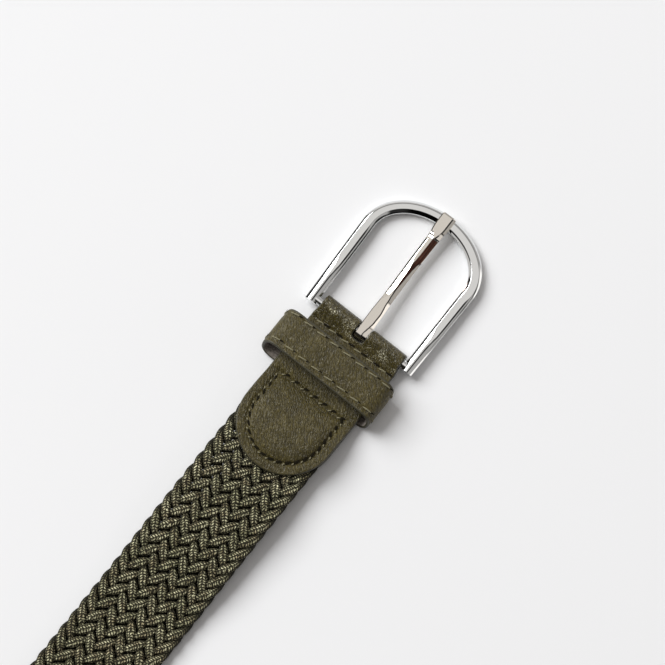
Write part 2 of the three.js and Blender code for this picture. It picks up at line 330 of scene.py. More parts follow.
# smooth leather: long pebbles and wrinkles that all slant one way, and a slow change of tone
def leatherFinish(name, look, relief, dim=0.0):
    g = Graph(name)
    where = g.place()
    warp = g.out(g.node("VectorMath", {"operation": "MULTIPLY_ADD"}, {
        0: g.noise(where, look["warps"], 1.0, 0.5, "Color"), 1: (look["warp"],) * 3, 2: where}))
    long = g.stretch(warp, look["pebble"], look["slant"])
    cells = g.node("TexVoronoi", {"feature": "DISTANCE_TO_EDGE"}, {"Vector": long, "Scale": 1.0})
    creases = g.noise(g.stretch(warp, look["wrinkle"], look["slant"]), 1.0, 2.0, 0.6)
    slow = g.noise(where, look["patches"], 3.0, 0.55)
    fine = g.noise(where, look["specks"], 2.0, 0.6)
    pebble = g.between(g.out(cells, "Distance"), *look["pebbleEdge"])
    fold = g.between(creases, *look["foldEdge"])
    height = pebble * look["pebbleHigh"] + fold * look["foldHigh"]
    toneShare = g.between(slow * 0.5 + fine * 0.5, *look["toneEdge"])
    # the pebbles' edges and the wrinkles' creases are darkened in the colour: painted shade in the
    # grain's valleys
    valleyShade = (1 - fold) * look["foldDark"] + (1 - pebble) * look["pebbleDark"]
    colour = g.mix(toneShare, look["mid"], look["light"])
    colour = g.mix(valleyShade, colour, look["dark"])
    if dim:
        colour = g.mix(dim, colour, (0, 0, 0))
    # painted highlights: bright glints on the grain's crests, in a band across the fold
    if "crest" in look:
        ahead = g.out(g.node("SeparateXYZ", None, {0: where}))
        band = g.between(ahead, *look["bandFrom"]) * (1 - g.between(ahead, *look["bandTo"]))
        crest = g.between(g.noise(long, look["crests"], 1.0), *look["crestEdge"])
        crest = crest * g.between(g.noise(where, look["glintSpots"], 1.0), *look["glintSpotEdge"])
        colour = g.mix(crest * band * look["glintShare"], colour, look["crest"])
    rough = look["rough"] + (1 - pebble) * look["sunkRough"] + (slow - 0.5) * look["slowRough"]
    return g.finish(height=height, deep=look["deep"] * relief, Base_Color=colour, Roughness=rough,
                    Specular_IOR_Level=look["shine"])


edgeLook = {
    "low": (46.4, 44, 30.4), "high": (64.96, 61.6, 42.56), "lumps": 420,
    "deep": 0.00008, "relief": 0.7, "rough": 0.42, "wander": 0.15,
}


# painted leather edge: smooth dark lacquer with a slow unevenness
def edgeFinish(name, look):
    g = Graph(name)
    uneven = g.noise(g.place(), look["lumps"], 3.0, 0.6)
    return g.finish(height=uneven, deep=look["deep"], strength=look["relief"],
                    Base_Color=g.mix(uneven, look["low"], look["high"]),
                    Roughness=look["rough"] + uneven * look["wander"])


linerLook = {
    "light": (150, 142, 132), "dark": (92, 84, 80), "fibre": (0.00045, 0.0011, 0.00045),
    "fibreEdge": (0.3, 0.7), "deep": 0.00012, "rough": 0.92,
}


# bare inner side: short fuzzy fibres, pale and matt
def linerFinish(name, look):
    g = Graph(name)
    fibre = g.noise(g.stretch(g.place(), look["fibre"]), 1.0, 4.0, 0.7)
    colour = g.mix(g.between(fibre, *look["fibreEdge"]), look["dark"], look["light"])
    return g.finish(height=fibre, deep=look["deep"], Base_Color=colour, Roughness=look["rough"])


threadLook = {
    "light": (168, 161, 130), "dark": (92, 87, 63), "lean": 2.2, "plies": 2, "deep": 0.00006,
    "rough": 0.7,
}


# twisted thread: a ply's height is the sine of the place along the stitch, leaning as it goes round
def threadFinish(name, look):
    g = Graph(name)
    around, along = g.surface()
    turned = (around + along * look["lean"]) * (2 * math.pi * look["plies"])
    ply = g.math("SINE", turned) * 0.5 + 0.5
    # the colour follows the ply's height: painted shade in the grooves between the plies
    colour = g.mix(ply, look["dark"], look["light"])
    return g.finish(height=ply, deep=look["deep"], Base_Color=colour, Roughness=look["rough"])


holeLook = {"dark": (16, 14, 8), "light": (34, 30, 19), "blotches": 3000, "rough": 0.95, "shine": 0.1}


# needle hole: a dark low dome over each hole and slot, painted shade for the hole's depth
def holeFinish(name, look):
    g = Graph(name)
    colour = g.mix(g.noise(g.place(), look["blotches"], 2.0), look["dark"], look["light"])
    return g.finish(Base_Color=colour, Roughness=look["rough"], Specular_IOR_Level=look["shine"])


cordLook = {
    # light paints the highlight on the stitches, dark the shade in their gaps, and buried the shade
    # on the cord's sides and buried faces
    "light": (255, 250, 208),
    "mid": (122, 116, 82),
    "dark": (20, 17, 7),
    "buried": (14, 12, 5),
    "cool": (150, 160, 128),
    "brown": (172, 146, 124),
    "wales": 4.0,
    "lean": 0.75,
    # noises: how many a metre
    "wobbles": 800, "patches": 1100, "cools": 140, "browns": 380, "speckle": 3600,
    "wobbleAcross": 0.5, "wobbleAlong": 1.3,
    "coolShare": 0.35, "brownShare": 0.5, "buriedShare": 0.78,
    # where each part of the pattern starts and is full
    "beatEdge": (0.25, 0.8), "armEdge": (0.1, 0.65), "bareEdge": (-0.1, 0.9),
    "patchEdge": (0.32, 0.62), "coolEdge": (0.4, 0.65), "brownEdge": (0.48, 0.62),
    "speckleEdge": (0.26, 0.52),
    # shares: at the least, and how much more at the most
    "litBare": (0.1, 0.85), "midLoop": (0.08, 0.8),
    "patchHigh": 0.3, "deep": 0.0004, "rough": 0.8, "shine": 0.25,
}


# knitted elastic: wales run along the cord, each of V stitches. Across a wale the distance from its
# middle leans the stitch; an arm of the V is painted bright where its cosine is high, in specks of
# painted highlight, and the gaps get painted shade. Bare is the sine of the place round the cord
# times how high the cord lies: the cord's sides and buried faces get painted shade.
def cordFinish(name, look):
    g = Graph(name)
    around, along = g.surface()
    where = g.place()
    wobble = g.noise(where, look["wobbles"], 2.0) - 0.5
    across = g.math("FRACT", around * look["wales"] + wobble * look["wobbleAcross"])
    side = abs(across - 0.5) * 2
    beat = (along + side * look["lean"] + wobble * look["wobbleAlong"]) * (2 * math.pi)
    arm = 1 - abs(side - 0.5) * 2
    loop = g.between(g.math("COSINE", beat) * 0.5 + 0.5, *look["beatEdge"])
    loop = loop * g.between(arm, *look["armEdge"])
    over = g.out(g.node("Attribute", {"attribute_name": "Over"}), "Fac")
    bare = g.between(g.math("SINE", around * (2 * math.pi)) * over, *look["bareEdge"])
    patch = g.noise(where, look["patches"], 3.0, 0.6)
    cool = g.between(g.noise(where, look["cools"], 2.0), *look["coolEdge"]) * look["coolShare"]
    brown = g.between(g.noise(where, look["browns"], 2.0), *look["brownEdge"]) * look["brownShare"]
    speckle = g.between(g.noise(where, look["speckle"], 2.0, 0.6), *look["speckleEdge"])
    (litLeast, litMore), (midLeast, midMore) = look["litBare"], look["midLoop"]
    # painted highlights: bright specks on the stitches' arms, brightest on bare faces
    lit = speckle * loop * g.between(patch, *look["patchEdge"]) * (bare * litMore + litLeast)
    colour = g.mix(loop * midMore + midLeast, look["dark"], look["mid"])
    colour = g.mix(lit, colour, look["light"])
    colour = g.mix(cool, colour, look["cool"], "MULTIPLY")
    colour = g.mix(brown, colour, look["brown"], "MULTIPLY")
    # painted shade on the cord's sides and buried faces
    colour = g.mix(look["buriedShare"] - bare * look["buriedShare"], colour, look["buried"])
    return g.finish(height=loop + patch * look["patchHigh"], deep=look["deep"], Base_Color=colour,
                    Roughness=look["rough"], Specular_IOR_Level=look["shine"])


chrome = plated("Chrome", platedLook["chrome"])
nickel = plated("Nickel", platedLook["nickel"])
# nickel with a painted dark reflection, for the facet right of the prong's ridge
darkReflectionFinish = plated("NickelPaintedReflection", platedLook["paintedReflection"])
leather = leatherFinish("Leather", leatherLook, 1.7)
foldLeather = leatherFinish("FoldLeather", foldLook, 1.6, dim=0.2)
keeperLeather = leatherFinish("KeeperLeather", dict(leatherLook, shine=0.33), 1.3)
edgePaint = edgeFinish("EdgePaint", edgeLook)
liner = linerFinish("Liner", linerLook)
thread = threadFinish("Thread", threadLook)
holeShadeFinish = holeFinish("NeedleHoleShade", holeLook)
cord = cordFinish("KnittedCord", cordLook)
print("finishes ready")


# buckle frame: a domed section carried along the horseshoe, and the bar

swing = {"turn": 1.2, "slide": 0.45}  # degrees, and millimetres to the left

buckleFrame = {
    "endBehind": 1.8, "shoulderAhead": 32.8, "bowAhead": 48.7,
    "legSpread": 20.55, "shoulderSpread": 21.2,
    "legWide": 4.4, "shoulderWide": 4.8, "bowWide": 4.6, "high": 3.6,
    "barRadius": 1.5, "barRows": 12, "barSides": 40, "legRows": 40, "bowRows": 96, "sidePoints": 76,
    # across from the crest: the surface's lean in degrees on the bow, high on the legs and low on
    # them; the legs' left and right sides were polished differently
    "leansLeft": [
        (0, 0, 0, 0), (0.3, 2.5, 1, 6), (0.54, 4.5, 2, 12), (0.62, 5, 2.5, 20),
        (1.22, 9.5, 6, 28.5), (1.34, 35.8, 7, 29.5), (1.4, 36, 7.5, 30), (1.46, 37, 8, 36),
        (1.52, 38.5, 36, 36.5), (1.8, 40.6, 37, 37), (1.86, 42.3, 37.5, 37.5),
        (2.18, 43, 38.5, 38.5), (2.22, 70, 70, 70), (2.3, 82, 82, 82),
    ],
    "leansRight": [
        (0, 0, 0, 0), (0.05, 0.5, 0.3, 6), (0.12, 0.8, 0.6, 15.5), (0.42, 3.5, 3, 17.5),
        (0.48, 4, 4, 19), (0.54, 4.5, 5, 22), (0.7, 5.5, 6, 24), (0.76, 6, 16, 25),
        (1.14, 9, 18.5, 28), (1.22, 9.5, 22, 28.7), (1.34, 35.8, 24, 29.5), (1.55, 39, 28, 31),
        (1.6, 39.3, 29, 39.8), (1.66, 39.7, 31, 40), (1.72, 40, 39.8, 40.2), (1.86, 42.3, 40, 40.4),
        (2.18, 43, 40.5, 40.8), (2.22, 70, 70, 70), (2.3, 82, 82, 82),
    ],
    # the bow's inner side left of the prong, which is steeper
    "leansInner": [
        (0, 0), (0.42, 3), (0.9, 7), (0.96, 33), (1.1, 36), (1.8, 40), (2.18, 43), (2.22, 70),
        (2.3, 82),
    ],
    "lowTo": (7, 20), "highTo": (28, 36),
    # the flat base from right to left: across, and up from the middle
    "base": [
        (0.99, -0.6), (0.93, -0.85), (0.78, -0.98), (0.6, -1), (0, -1), (-0.6, -1), (-0.78, -0.98),
        (-0.93, -0.85), (-0.99, -0.6),
    ],
    "sharp": 55,
}


# points of the buckle, given from the bar's middle: turned upright about it and slid along it
def swung(points):
    turn = math.radians(swing["turn"])
    ahead, across, up = np.moveaxis(points, -1, 0)
    return stack(ahead * math.cos(turn) - across * math.sin(turn) + barAhead,
                 ahead * math.sin(turn) + across * math.cos(turn) + swing["slide"], up)


# straight legs, then half an ellipse; each point has ahead, across and the wire's width
def horseshoe(f):
    ahead = np.linspace(-f["endBehind"], f["shoulderAhead"], f["legRows"])
    along = (ahead + f["endBehind"]) / (f["shoulderAhead"] + f["endBehind"])
    leg = stack(ahead, blend(f["legSpread"], f["shoulderSpread"], along),
                blend(f["legWide"], f["shoulderWide"], along))
    turn = np.linspace(0, math.pi, f["bowRows"] + 2)[1:-1]
    bow = stack(blend(f["shoulderAhead"], f["bowAhead"], np.sin(turn)),
                f["shoulderSpread"] * np.cos(turn),
                blend(f["shoulderWide"], f["bowWide"], np.sin(turn)))
    return join(leg, bow, leg[::-1] * [1, -1, 1])


# unit section: it falls from its crest by the tangent of its lean, over a flat base
def domeSection(f, outer, inner, column):
    sides = []
    for side in (inner, outer):
        x = np.linspace(0, f[side][-1][0], f["sidePoints"])
        lean = np.radians(readTable(f[side], x)[column])
        fall = join([0], np.cumsum(np.tan((lean[1:] + lean[:-1]) / 2) * np.diff(x)))
        sides.append(stack(x / x[-1], 1 - fall / (f["high"] / 2)))
    return join((sides[0] * [-1, 1])[::-1], sides[1][1:], f["base"])


# the bow's section turns into sharper roofs towards the legs' cut ends
def buckleWire(f):
    line = horseshoe(f)
    way = unit(np.gradient(line[:, :2], axis=0))
    outward = stack(-way[:, 1], way[:, 0])
    low = ease(line[:, 0], *f["lowTo"])[:, None, None]
    high = ease(line[:, 0], *f["highTo"])[:, None, None]
    isLeft = (line[:, 1] > 0)[:, None, None]
    bow, tall, flat = [np.where(isLeft, domeSection(f, "leansLeft", right, column),
                                domeSection(f, "leansRight", "leansLeft", column))
                       for column, right in enumerate(("leansInner", "leansRight", "leansRight"))]
    section = blend(blend(flat, tall, low), bow, high)
    half = line[:, 2, None, None] / 2
    plan = line[:, None, :2] + outward[:, None] * (section[..., :1] * half)
    return np.concatenate([plan, section[..., 1:] * f["high"] / 2], -1)


# the wire and a round bar; the bow's end dips about the bar until it lies on the floor
def buildFrame(f):
    shape = newShape()
    addTube(shape, buckleWire(f))
    turn = roundTurns(f["barSides"])[None, :]
    across = np.linspace(-f["legSpread"], f["legSpread"], f["barRows"])[:, None]
    addTube(shape, stack(f["barRadius"] * np.cos(turn), across, f["barRadius"] * np.sin(turn)))
    dip = math.asin((barHigh - f["high"] / 2) / (f["bowAhead"] + f["bowWide"] / 2))
    far, low = math.cos(dip), math.sin(dip)
    tilt = np.array([[far, 0, -low], [0, 1, 0], [low, 0, far]])
    shape["points"] = [swung(points @ tilt + [0, 0, barHigh]) for points in shape["points"]]
    makePiece("BuckleFrame", shape, [chrome], "buckle_frame", "buckle_frame",
              sharp=f["sharp"])


buildFrame(buckleFrame)
print("buckle frame ready")


# prong: a section with a wandering crest along the shaft, then round the bar

prongLook = {
    "ringMiddle": 2.325, "ringThick": 1.05, "ringTurn": 300, "ringPower": 0.8, "ringRows": 89,
    # from, to and how many rows
    "rows": [(50.7, 41, 50), (40.6, 0, 100)],
    # ahead, top, under
    "heights": [
        (0, 6.22, 5.2), (1.5, 6.25, 4.9), (4.5, 6.2, 4.5), (13.5, 5.7, 3.95), (27, 5.05, 3.2),
        (31.8, 5, 3.1),
        (46, 5.65, 3.2), (46.3, 5.65, 3.97), (50.2, 5.55, 3.97), (50.7, 5.2, 4.15),
    ],
    # ahead, its reach left and right, the steep left cheek's width, the width and lean of the blade
    # beside it, the ridge's place, the width of the facet right of it, and the right cheek's lean
    "sections": [
        (0, 1.65, 2.6, 0.25, 0.05, 2, -0.7, 0.35, 9),
        (1.5, 1.7, 2.75, 0.25, 0.05, 2, -0.95, 0.45, 9),
        (2.7, 1.74, 2.75, 0.25, 0.05, 2, -1.2, 0.45, 9),
        (3.1, 1.76, 2.75, 0.25, 0.05, 2, -1.28, 0.45, 43),
        (4.5, 1.8, 2.75, 0.25, 0.05, 2, -1.5, 0.45, 43),
        (8, 1.85, 2.65, 0.25, 0.05, 2, -1.55, 0.45, 43),
        (13.4, 1.75, 2.35, 0.25, 0.3, 6, -0.9, 0.4, 42),
        (14, 1.75, 2.32, 0.25, 0.6, 12, -0.85, 0.4, 28),
        (16, 1.8, 2.25, 0.5, 1.15, 21, -0.6, 0.4, 28),
        (19, 1.85, 2.2, 0.6, 1.4, 23, -0.3, 0.55, 27),
        (24.1, 2, 2.1, 0.6, 1.4, 23, -0.05, 0.9, 27),
        (27, 2.05, 2.05, 0.6, 1.35, 23, 0.05, 1.1, 27),
        (29.5, 2.1, 2.05, 0.6, 1, 23, 0.3, 1.6, 30),
        (31.8, 2.1, 2.05, 0.62, 0.3, 23, 0.15, 2.1, 43),
        (34, 2.12, 2.1, 0.62, 0.2, 23, 0.05, 2.1, 43),
        (39.8, 2.15, 2.2, 0.62, 0.2, 23, 0, 2.15, 43),
        (40.7, 2.2, 2.25, 0.5, 1.4, 22, -0.05, 2.1, 40),
        (41.3, 2.25, 2.28, 0.4, 1.7, 22, -0.35, 0.55, 9),
        (42.2, 2.35, 2.3, 0.35, 1.2, 22, -0.65, 0.5, 9),
        (43.3, 2.45, 2.3, 0.35, 0.4, 10, -1, 0.5, 12),
        (44.5, 2.6, 2.4, 0.35, 0.05, 2, -1.2, 0.5, 29),
        (45.7, 2.68, 2.6, 0.35, 0.05, 2, -1.25, 0.5, 29),
        (46.3, 2.7, 2.65, 0.35, 0.05, 2, -1.25, 0.5, 29),
        (50.2, 2.7, 2.65, 0.35, 0.05, 2, -1.25, 0.5, 29),
        (50.7, 2.5, 2.5, 0.35, 0.05, 2, -1.15, 0.45, 29),
    ],
    # the third entry: the distances ahead between which the facet right of the ridge has a painted
    # dark reflection
    "cheekLean": 37, "facetLean": 17.3, "paintedReflection": (19, 41), "flatTop": 3,  # the top's column
    "lip": 0.3, "lipShare": 0.25, "leastTop": 0.05, "sharp": 8,
}


def fallOf(wide, lean):
    return wide * np.tan(np.radians(lean))


# one section's corners, across to the left and up: cheek, blade, flat top, facet and right cheek
def prongCorners(top, under, left, right, cheek, blade, bladeLean, ridge, facet, rightLean):
    p = prongLook
    lip = np.minimum(p["lip"], (top - under) * p["lipShare"])
    lowest = under + 1.5 * lip
    crest = np.maximum(left - cheek - blade, ridge + p["leastTop"])
    bladeTop = top - fallOf(left - cheek - crest, bladeLean)
    end = np.maximum(ridge - facet, p["leastTop"] - right)
    facetEnd = top - fallOf(ridge - end, p["facetLean"])
    corners = [(left, np.maximum(bladeTop - fallOf(cheek, p["cheekLean"]), lowest)),
               (left - cheek, bladeTop), (crest, top), (ridge, top), (end, facetEnd),
               (-right, np.maximum(facetEnd - fallOf(end + right, rightLean), lowest)),
               (-right, under + lip), (lip - right, under), (left - lip, under),
               (left, under + lip)]
    middle = (top + under) / 2
    return np.stack([stack(across, up - middle) for across, up in corners], -2)


# the sections stand on a line along the shaft that then runs round the bar as a squarish ring
def buildProng(p):
    ahead = join(*[np.linspace(*rows) for rows in p["rows"]])
    sizes = readTable(p["sections"], ahead)
    heights = np.array(p["heights"])
    top, under = [np.interp(ahead, heights[:, 0], heights[:, k]) for k in (1, 2)]
    shaft = prongCorners(top, under, *sizes)
    turn = np.radians(np.linspace(90, 90 + p["ringTurn"], p["ringRows"] + 1))[1:]
    ones = np.ones(len(turn))
    ring = prongCorners(p["ringThick"] * ones, 0 * ones, *[column[-1] * ones for column in sizes])
    ringLine = p["ringMiddle"] * signedPower(stack(np.cos(turn), np.sin(turn)), p["ringPower"])
    line = join(stack(ahead, (top + under) / 2 - barHigh), ringLine)
    up = join(np.broadcast_to([0.0, 1.0], (len(ahead), 2)), unit(ringLine))
    section = join(shaft, ring)
    plane = line[:, None] + up[:, None] * section[..., 1:]
    skin = np.zeros((len(line) - 1, section.shape[1]), int)
    # there the facet right of the ridge gets the finish with the painted dark reflection
    hasPaintedReflection = (ahead > p["paintedReflection"][0]) & (ahead < p["paintedReflection"][1])
    skin[:len(ahead)][hasPaintedReflection, p["flatTop"]] = 1
    points = stack(plane[..., 0], section[..., 0], plane[..., 1] + barHigh)
    shape = newShape()
    addTube(shape, swung(points), finish=skin)
    makePiece("Prong", shape, [nickel, darkReflectionFinish], "prong", "prong", sharp=p["sharp"])


buildProng(prongLook)
print("prong ready")


# leather sheets: their rims are rounded, and painted where they are round enough

leatherRim = {"at": [0, 0.03, 0.1, 0.2, 0.34, 0.55], "painted": 0.62}


# shares of the way across a sheet, close together at its rims
def acrossShares(halfWide, between):
    rim = np.array(leatherRim["at"]) / halfWide
    return join(rim, np.linspace(rim[-1], 1 - rim[-1], between + 2)[1:-1], 1 - rim[::-1])


# a sheet's two faces, drawn together in a quarter circle as near goes from 1 to 0 at the rim
def roundedPair(outer, inner, near):
    pull = 0.5 * (1 - np.sqrt(1 - (1 - near) ** 2))
    return blend(outer, inner, pull), blend(inner, outer, pull)


# whether each cell of the grid is part of the painted rim
def paintedCells(near):
    corners = near[1:, 1:] + near[:-1, 1:] + near[1:, :-1] + near[:-1, :-1]
    return 0.25 * corners < leatherRim["painted"]


# leather tab: one strip over the bar and back, with a slot and two D ends

tab = {
    "halfWide": 17.8, "foldHalf": 17.25, "long": 58.3, "foldWall": 1.5, "edgeRound": 0.55,
    "slotHalf": 2.45, "slotBehind": 3.3, "slotCorner": 1.3,
    "panelFrom": 28, "inset": 3.8, "puff": 0.8, "shoulder": 4,
    "seamDip": 0.6, "seamWide": 0.8, "foldSeam": 5.9, "foldSeamDip": 0.3, "foldSeamWide": 0.6,
    "foldSeamHalf": 16.2, "widens": (1.5, 5), "foldFinishTo": 6.3,
    "columns": 42, "roundRows": 64, "straightRows": 92, "slotRows": 10, "barRows": 5,
    "foldRows": 32,
    "beforeSlot": (0.4, 0.2, 0.08, 0.02, -0.001),  # rows that draw close to the slot's end
    # behind the bar: underside, top, one layer's wall
    "lie": [
        (0, 0, 6.8, 1.5), (5.9, 1.5, 4.5, 1.35), (9, 1.9, 4.9, 1.35), (26, 1.9, 4.9, 1.35),
        (28, 1.9, 4.9, 1.35), (38, 2.1, 7.7, 1.4), (50, 2.7, 8.5, 1.4), (58.3, 3.1, 8.6, 1),
    ],
}
tabRound = tab["long"] - tab["halfWide"]  # the D end's centre, behind the bar


# how far a point lies inside the tab's outline drawn in by inset, whose end is round
def insideD(behind, across, inset=0.0):
    radius = tab["halfWide"] - inset
    past = np.maximum(behind - tabRound, 0)
    return np.where(behind > tabRound, radius - np.hypot(past, across), radius - np.abs(across))


# the upper face: its table, the puffed panel, and the dips that the stitches pull
def tabTop(behind, across):
    behind, across = np.broadcast_arrays(np.asarray(behind, float), np.asarray(across, float))
    inside = np.minimum(insideD(behind, across, tab["inset"]), behind - tab["panelFrom"])
    lift = tab["puff"] * ease(inside, 0, tab["shoulder"])
    lift = lift - tab["seamDip"] * np.exp(-(inside / tab["seamWide"]) ** 2)
    fromFold = (behind - tab["foldSeam"]) / tab["foldSeamWide"]
    lift = lift - tab["foldSeamDip"] * np.exp(-fromFold ** 2)
    return readTable(tab["lie"], behind)[1] + lift


# distance outside the slot's rounded outline, in the strip's own flat length and width
def fromSlot(length, across):
    corner = tab["slotCorner"]
    x = np.abs(length) - (tab["slotBehind"] + math.pi / 2 * barHigh - corner)
    y = np.abs(across) - (tab["slotHalf"] - corner)
    return np.hypot(np.maximum(x, 0), np.maximum(y, 0)) + np.minimum(np.maximum(x, y), 0) - corner


# the strip's rows from the upper end over the bar to the lower end: distance behind the bar, flat
# length from the fold's front, layer (1 upper, 0 fold, -1 lower), half width, half slot and turn
def tabStrip():
    arc = math.pi / 2 * barHigh
    reach, corner = tab["slotBehind"], tab["slotCorner"]
    roundEnd = tabRound + tab["halfWide"] * np.sin(np.linspace(math.pi / 2, 0, tab["roundRows"]))
    before = reach + np.array(tab["beforeSlot"])
    straight = np.linspace(tabRound, before[0], tab["straightRows"])[1:]
    slotEnd = reach - corner + corner * np.sin(np.linspace(math.pi / 2, 0, tab["slotRows"]))
    behind = join(roundEnd, straight, before[1:], slotEnd[1:],
                  np.linspace(slotEnd[-1], 0, tab["barRows"] + 1)[1:])
    turn = np.linspace(math.pi / 2, -math.pi / 2, tab["foldRows"] + 2)[1:-1]
    length = join(-(behind + arc), -turn / (math.pi / 2) * arc, (behind + arc)[::-1])
    layer = np.repeat([1, 0, -1], [len(behind), len(turn), len(behind)])
    turn = join(0 * behind, turn, 0 * behind)
    behind = join(behind, np.zeros(tab["foldRows"]), behind[::-1])
    half = np.sqrt(np.maximum(tab["halfWide"] ** 2 - np.maximum(behind - tabRound, 0) ** 2, 0))
    narrower = (tab["halfWide"] - tab["foldHalf"]) * (1 - ease(behind, *tab["widens"]))
    half = half - narrower * (behind < tabRound)
    past = np.clip(np.abs(length) - (reach + arc - corner), 0, corner)
    slotHalf = tab["slotHalf"] - corner + np.sqrt(np.maximum(corner ** 2 - past ** 2, 0))
    slotHalf = np.where(np.abs(length) < reach + arc, slotHalf, 0)
    return [column[:, None] for column in (behind, length, layer, half, slotHalf, turn)]


# a face of the strip: a half circle round the bar, and the given heights on its two layers
def tabFace(layer, turn, radius, behind, upper, lower):
    flat = np.where(layer > 0, upper, lower)
    return stack(np.where(layer == 0, radius * np.cos(turn), -behind),
                 np.where(layer == 0, barHigh + radius * np.sin(turn), flat))


def buildTab():
    behind, length, layer, half, slotHalf, turn = tabStrip()
    across = blend(slotHalf, half, acrossShares(tab["halfWide"], tab["columns"]))
    behind = np.broadcast_to(behind, across.shape)
    under, top, wall = readTable(tab["lie"], behind)
    outer = tabFace(layer, turn, barHigh, behind, tabTop(behind, across), under)
    inner = tabFace(layer, turn, barHigh - tab["foldWall"], behind, top - wall, under + wall)
    fromEnd = np.where(behind > tabRound, insideD(behind, across), half - across)
    near = np.minimum(np.maximum(fromEnd, 0), np.maximum(fromSlot(length, across), 0))
    near = np.clip(near / tab["edgeRound"], 0, 1)
    isRim = paintedCells(near)
    isFold = (behind[1:, 1:] < tab["foldFinishTo"]) & (behind[:-1, :-1] < tab["foldFinishTo"])
    skins = (np.where(isRim, 1, np.where(isFold, 2, 0)), np.where(isRim, 1, 3))
    shape = newShape()
    for mirror in (1, -1):
        for face, skin in zip(roundedPair(outer, inner, near[..., None]), skins):
            points = stack(face[..., 0] + barAhead, across * mirror, face[..., 1])
            addGrid(shape, points, finish=skin)
    finishes = [leather, edgePaint, foldLeather, liner]
    makePiece("LeatherTab", shape, finishes, "strap", "leather_tab")


buildTab()
print("leather tab ready")


# keeper: a strip carried round a loop whose ends are squarish arcs: the cosine and sine of a turn,
# each raised to a power below one

keeper = {
    "ahead": 8.55, "wide": 14.25, "lean": 3.05, "halfAcross": 23.25, "offset": 1.5,
    "high": 10.9, "wall": 1.5, "crown": 0.4, "power": 0.75, "edge": 0.6, "edgePower": 0.7,
    "crease": 1.5, "creaseDeep": 0.14, "creaseWide": 0.22, "puff": 0.15, "puffed": (2, 4),
    "runs": 160, "arcRows": 40, "flatRows": 28, "outerRows": 50, "rimRows": 7, "innerRows": 12,
    # seams: where they lie behind the bar, how high they start, and their share of the puff's height
    "seams": (9.85, 20.4), "seamFrom": 2.2, "seamHigh": 0.9, "seamRuns": 600,
}
keeperReach = (keeper["high"] - keeper["wall"]) / 2  # half the loop's height, to the wall's middle


# even places on the loop, flat with squarish ends: across, up, the turn of its outside, and the run
def keeperPath(count):
    k = keeper
    flatRows, power = k["flatRows"], k["power"]
    straight = k["halfAcross"] - k["wall"] / 2 - keeperReach
    turns = np.linspace(-math.pi / 2, math.pi / 2, k["arcRows"])
    side, rise = np.maximum(np.cos(turns), 0), np.sin(turns)
    out = straight + keeperReach * side ** power
    up = keeperReach * signedPower(rise, power)
    lean = np.arctan2(signedPower(rise, 2 - power), side ** (2 - power))
    flat = np.linspace(-straight, straight, flatRows + 2)[1:-1]
    y = join(flat, out, -flat, -out, flat[:1])
    z = join(np.zeros(flatRows), keeperReach + up, np.full(flatRows, 2 * keeperReach),
             keeperReach - up, [0])
    angle = join(np.full(flatRows, -math.pi / 2), lean, np.full(flatRows, math.pi / 2),
                 lean + math.pi, [1.5 * math.pi])
    run = runOf(stack(y, z))
    at = np.linspace(0, run[-1], count + 1)
    return [np.interp(at, run, values) for values in (y, z, angle)] + [at]


# a point from its place on the loop, its share along the belt (-1..1) and its distance from the
# wall's middle; the loop leans, and its top is crowned by a cosine
def keeperPoint(y, z, angle, along, out):
    k = keeper
    share = z / (2 * keeperReach)
    middle = -k["ahead"] - k["wide"] / 2 - k["lean"] * (1 - share)
    crown = k["crown"] * share * np.cos(y / k["halfAcross"] * math.pi / 2)
    return stack(barAhead + middle + along * k["wide"] / 2,
                 k["offset"] + y + out * np.cos(angle),
                 k["wall"] / 2 + z + crown + out * np.sin(angle))


# the strap's section: puffed and creased outside, round at its rims, flat inside
def keeperSection():
    k = keeper
    half, thick, low = k["wide"] / 2, k["wall"] / 2, k["wall"] / 2 - k["puff"]
    flat = np.linspace(k["edge"] - half, half - k["edge"], k["outerRows"])
    inside = half - np.abs(flat)
    groove = k["creaseDeep"] * np.exp(-((inside - k["crease"]) / k["creaseWide"]) ** 2)
    outer = stack(flat, low + k["puff"] * ease(inside, *k["puffed"]) - groove)
    turn = np.linspace(math.pi / 2, -math.pi / 2, k["rimRows"] + 2)[1:-1]
    front = stack(half - k["edge"] + k["edge"] * np.cos(turn),
                  low * signedPower(np.sin(turn), k["edgePower"]))
    inner = stack(np.linspace(half - k["edge"], k["edge"] - half, k["innerRows"]), -thick)
    section = join(outer, front, inner, -front)
    counts = [k["outerRows"] - 1, k["rimRows"] + 1, k["innerRows"], k["rimRows"]]
    skin = np.repeat([0, 1, 2, 1], counts)
    return section, skin


def buildKeeper():
    section, skin = keeperSection()
    y, z, angle = [values[:-1, None] for values in keeperPath(keeper["runs"])[:3]]
    points = keeperPoint(y, z, angle, section[:, 0] / (keeper["wide"] / 2), section[:, 1])
    shape = newShape()
    addGrid(shape, points, roundRows=True, roundColumns=True, finish=skin)
    makePiece("Keeper", shape, [keeperLeather, edgePaint, liner], "strap", "keeper_loop")


buildKeeper()
print("keeper ready")


# braid: 17 knitted cords, each on the same zigzag one row pitch further on

